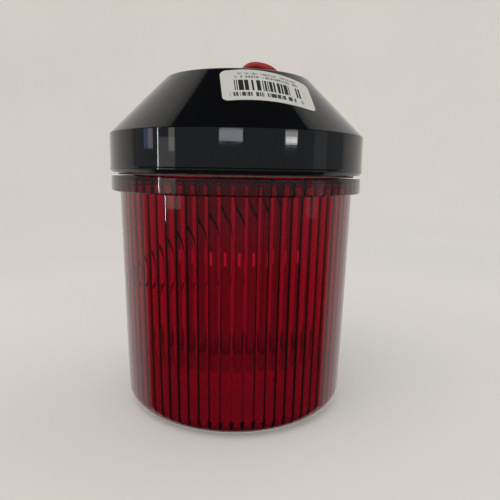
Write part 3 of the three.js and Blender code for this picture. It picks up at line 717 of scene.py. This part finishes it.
# White solder mask: satin ink over the board, lightly uneven where copper lies beneath it.
white_board, tree, shader = start_finish("white_solder_mask", "#e4e6e1", 0.4)
mottle(tree, shader, 6, colours=("#dcdfd9", "#ebede8"), gloss=(0.32, 0.48))
mottle(tree, shader, 1.5, relief=0.01)
# Diode package: white moulded resin, nearly shadowless.
diode_body, tree, shader = start_finish("white_diode_package", "#f0eee8", 0.35)
mottle(tree, shader, 0.8, colours=("#e8e6df", "#f5f3ee"))
# Phosphor in clear resin: pale yellow, with a painted glow: a faint emission that brightens it although the
# diode is not lit.
phosphor_painted_glow, tree, shader = start_finish("yellow_phosphor_painted_glow", "#f2e2a0", 0.3)
mottle(tree, shader, 0.5, colours=("#ecd98c", "#f6e9b4"), relief=0.02)
shader.inputs["Emission Color"].default_value = srgb("#ffc890")
shader.inputs["Emission Strength"].default_value = 0.36
for i in range(6):
    dress(white_board, f"light_board_{i + 1}")
    dress(diode_body, f"diode_{i + 1}")
    pad = block((0.36, 5.3, 6.3), (DIODE_WELL + 0.18, 0, DIODE_Z), 0.1)
    turn = Matrix.Rotation(math.radians(60 * i + 30), 3, "Z")
    bmesh.ops.rotate(pad, cent=(0, 0, 0), matrix=turn, verts=pad.verts[:])
    make_piece(pad, f"phosphor_pad_{i + 1}", phosphor_painted_glow, [])

# Natural nylon: off-white and satin, with the grain of the mould.
white_nylon, tree, shader = start_finish("natural_nylon", "#d6d2c6", 0.5)
mottle(tree, shader, 4, colours=("#cdc9bc", "#dedacf"), gloss=(0.42, 0.58))
mottle(tree, shader, 0.4, relief=0.02)
cap = turned(rounded([
    (0, CAP_BOTTOM, 0), (CAP_R, CAP_BOTTOM, 1.2), (CAP_R, CAP_TOP, 0.6),
    (CAP_R - CAP_WALL, CAP_TOP, 0.5), (CAP_R - CAP_WALL, CAP_FLOOR, 0.5), (0, CAP_FLOOR, 0),
], 4), 96)
port_places = ring_places(3, PORT_CIRCLE, 0)
ports = [round_bar(SCREW_HOLE_R, 10, 30, x, y) for x, y, angle in port_places]
cap = combined(cap, together(ports), "DIFFERENCE")
make_piece(cap, "tower_cap_cup", white_nylon, ["tower_cap"])
dress(white_nylon, "feed_plug")

# Satin black nylon: carrier plate, moulded with a fine spark-eroded grain.
black_nylon, tree, shader = start_finish("satin_black_nylon", "#18191b", 0.5)
mottle(tree, shader, 4, colours=("#141517", "#202123"), gloss=(0.42, 0.58))
mottle(tree, shader, 0.4, relief=0.02)
dress(black_nylon, "tower_carrier")

# Feed lead: 2.2 mm black PVC, slack across the tower from the carrier to its plug.
FEED_R = 1.1
PLUG_DEPTH = 5
PLUG_GAP = 0.3
PLUG_ANGLE = math.radians(150)

black_pvc, tree, shader = start_finish("black_pvc_insulation", "#131315", 0.4)
mottle(tree, shader, 3, colours=("#0f0f11", "#1c1c1f"), gloss=(0.33, 0.5))
plug_face = BOARD_FRONT + PLUG_GAP + PLUG_DEPTH + PLUG_GAP
plug_x = math.cos(PLUG_ANGLE)
plug_y = math.sin(PLUG_ANGLE)
feed = lead_curve("feed_lead_wire", [
    (18, -20, 131), (18, -20, 127), (18, -20, 122), (17.6, -20.6, 116.5), (16.2, -21.9, 110),
    (12.8, -23.4, 104), (7, -24.6, 99.2), (-1, -25, 95), (-9, -24.4, 91), (-17, -22.4, 86.2),
    (-24, -18.6, 80.6), (-30, -13.2, 74.8), (-34.6, -6.4, 69), (-36.8, 1, 63.4), (-36, 8, 58.4),
    (-32.4, 12.8, 54.6), (plug_x * (plug_face + 6), plug_y * (plug_face + 6) + 0.4, 52.3),
    (plug_x * plug_face, plug_y * plug_face, 51.5),
], FEED_R, black_pvc)
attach(feed, "base")
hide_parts("feed_lead")


# ---------------------------------------------------------------------------------------------
# Driver board and its parts, on three posts above the carrier. The lead's inner end runs from
# the terminal block up through the grommet.
POST_CIRCLE = 27
CHIP_Y = 15
CHIP_LEG_PITCH = 1.3
CHIP_LEG_Z = 133.4

# Green solder mask: glossy ink with paler copper tracks under it.
green_mask, tree, shader = start_finish("green_solder_mask", "#1f6b3c", 0.35)
place = add_node(tree, "TexCoord").outputs["Object"]
traces = add_node(tree, "TexVoronoi", {"Vector": place, "Scale": 260.0}, feature="DISTANCE_TO_EDGE")
edge = add_node(tree, "Math", {0: traces.outputs["Distance"], 1: 0.12}, operation="LESS_THAN")
tree.links.new(blend(tree, edge.outputs[0], "#1b5e35", "#2f8450"), shader.inputs["Base Color"])
mottle(tree, shader, 3, gloss=(0.28, 0.42))
dress(green_mask, "driver_board")

# Green nylon: glass-filled, satin, for the terminal block.
green_nylon, tree, shader = start_finish("green_filled_nylon", "#2c7a45", 0.5)
mottle(tree, shader, 2, colours=("#266c3d", "#35864e"), gloss=(0.42, 0.6))
mottle(tree, shader, 0.3, relief=0.015)
dress(green_nylon, "terminal_block")

# Capacitor sleeve: shrunk film, nearly black, with the pale stripe of the negative side.
sleeve, tree, shader = start_finish("shrunk_capacitor_sleeve", "#16181d", 0.25)
across = add_node(tree, "SeparateXYZ", {0: add_node(tree, "TexCoord").outputs["Object"]}).outputs[0]
stripe = add_node(tree, "Math", {0: across, 1: -0.0178}, operation="LESS_THAN").outputs[0]
tree.links.new(blend(tree, stripe, "#16181d", "#a9adb2"), shader.inputs["Base Color"])
mottle(tree, shader, 1.5, gloss=(0.2, 0.34), relief=0.01)
dress(sleeve, "capacitor")

# Enamelled copper: fine turns laid side by side round the drum core.
copper, tree, shader = start_finish("enamelled_copper", "#a9572c", 0.28, 1.0)
turns = (0.02, 0.02, 1)
mottle(tree, shader, 0.5, colours=("#8e4220", "#c06a38"), relief=0.05, stretch=turns, detail=1.0)
dress(copper, "inductor")

# Black epoxy: transfer-moulded packages of the rectifier and the driver chip.
epoxy, tree, shader = start_finish("moulded_black_epoxy", "#1a1a1c", 0.6)
mottle(tree, shader, 0.8, colours=("#161617", "#232325"), gloss=(0.5, 0.7))
mottle(tree, shader, 0.15, relief=0.01)
dress(epoxy, "rectifier", "driver_chip")

# Tinned brass ends of the fuse, and the same dull tin on the driver chip's eight legs.
tinned, tree, shader = start_finish("dull_tin_plate", "#b6b8ba", 0.36, 1.0)
mottle(tree, shader, 0.8, colours=("#a4a6a8", "#c6c8ca"), gloss=(0.3, 0.46))
dress(tinned, "fuse")
legs = []
for row in range(4):
    for side in (-1, 1):
        foot = ((row - 1.5) * CHIP_LEG_PITCH, CHIP_Y + side * 3.0, CHIP_LEG_Z)
        legs.append(block((0.5, 1.0, 0.25), foot, 0.08))
make_piece(together(legs), "driver_chip_legs", tinned, [])
dress(red_pvc, "lead_inside")

# Screws: zinc-plated pan heads with a cross recess, in threes.
HEAD_R = 2.8
SHANK_R = 1.2
ROOT_R = 0.95
THREAD_PITCH = 0.8

plated_steel, tree, shader = start_finish("zinc_plated_steel", "#b9bcc0", 0.3, 1.0)
mottle(tree, shader, 1.0, colours=("#a3a7ad", "#c8cacb"), gloss=(0.22, 0.4))
mottle(tree, shader, 0.2, relief=0.006)


def pan_screw(place, seat, length, direction):
    """Pan head screw with its thread, pointing up (1) or down (-1) from its head's seat."""
    line = [(0, -2, 0), (1.7, -2, 0.6), (HEAD_R, -1, 0.5), (HEAD_R, 0, 0.15), (SHANK_R, 0, 0.1)]
    for i in range(int(length / THREAD_PITCH)):
        crest = 0.3 + i * THREAD_PITCH
        line += [(SHANK_R, crest, 0), (ROOT_R, crest + THREAD_PITCH / 2, 0)]
    line += [(1.15, length - 0.15, 0), (0.9, length, 0), (0, length, 0)]
    slots = [block((2.6, 0.6, 2.2), (0, 0, -2)), block((0.6, 2.6, 2.2), (0, 0, -2))]
    recess = combined(slots[0], slots[1], "UNION")
    mesh = combined(turned(rounded(line, 3), 24), recess, "DIFFERENCE")
    if direction < 0:
        over = Matrix.Rotation(math.pi, 3, "X")
        bmesh.ops.rotate(mesh, cent=(0, 0, 0), matrix=over, verts=mesh.verts[:])
    bmesh.ops.translate(mesh, vec=(place[0], place[1], seat), verts=mesh.verts[:])
    return mesh


screw_kinds = (
    ("carrier_screw", boss_places, 123.7, 13, 1),
    ("tower_screw", port_places, 127.3, 11, -1),
    ("cap_screw", port_places, 18.2, 12, 1),
    ("board_screw", ring_places(3, POST_CIRCLE, 90), 133.2, 5.5, -1),
)
for kind, places, seat, length, direction in screw_kinds:
    for i, place in enumerate(places):
        mesh = pan_screw(place, seat, length, direction)
        make_piece(mesh, f"zinc_{kind}_{i + 1}", plated_steel, [f"{kind}_{i + 1}"])
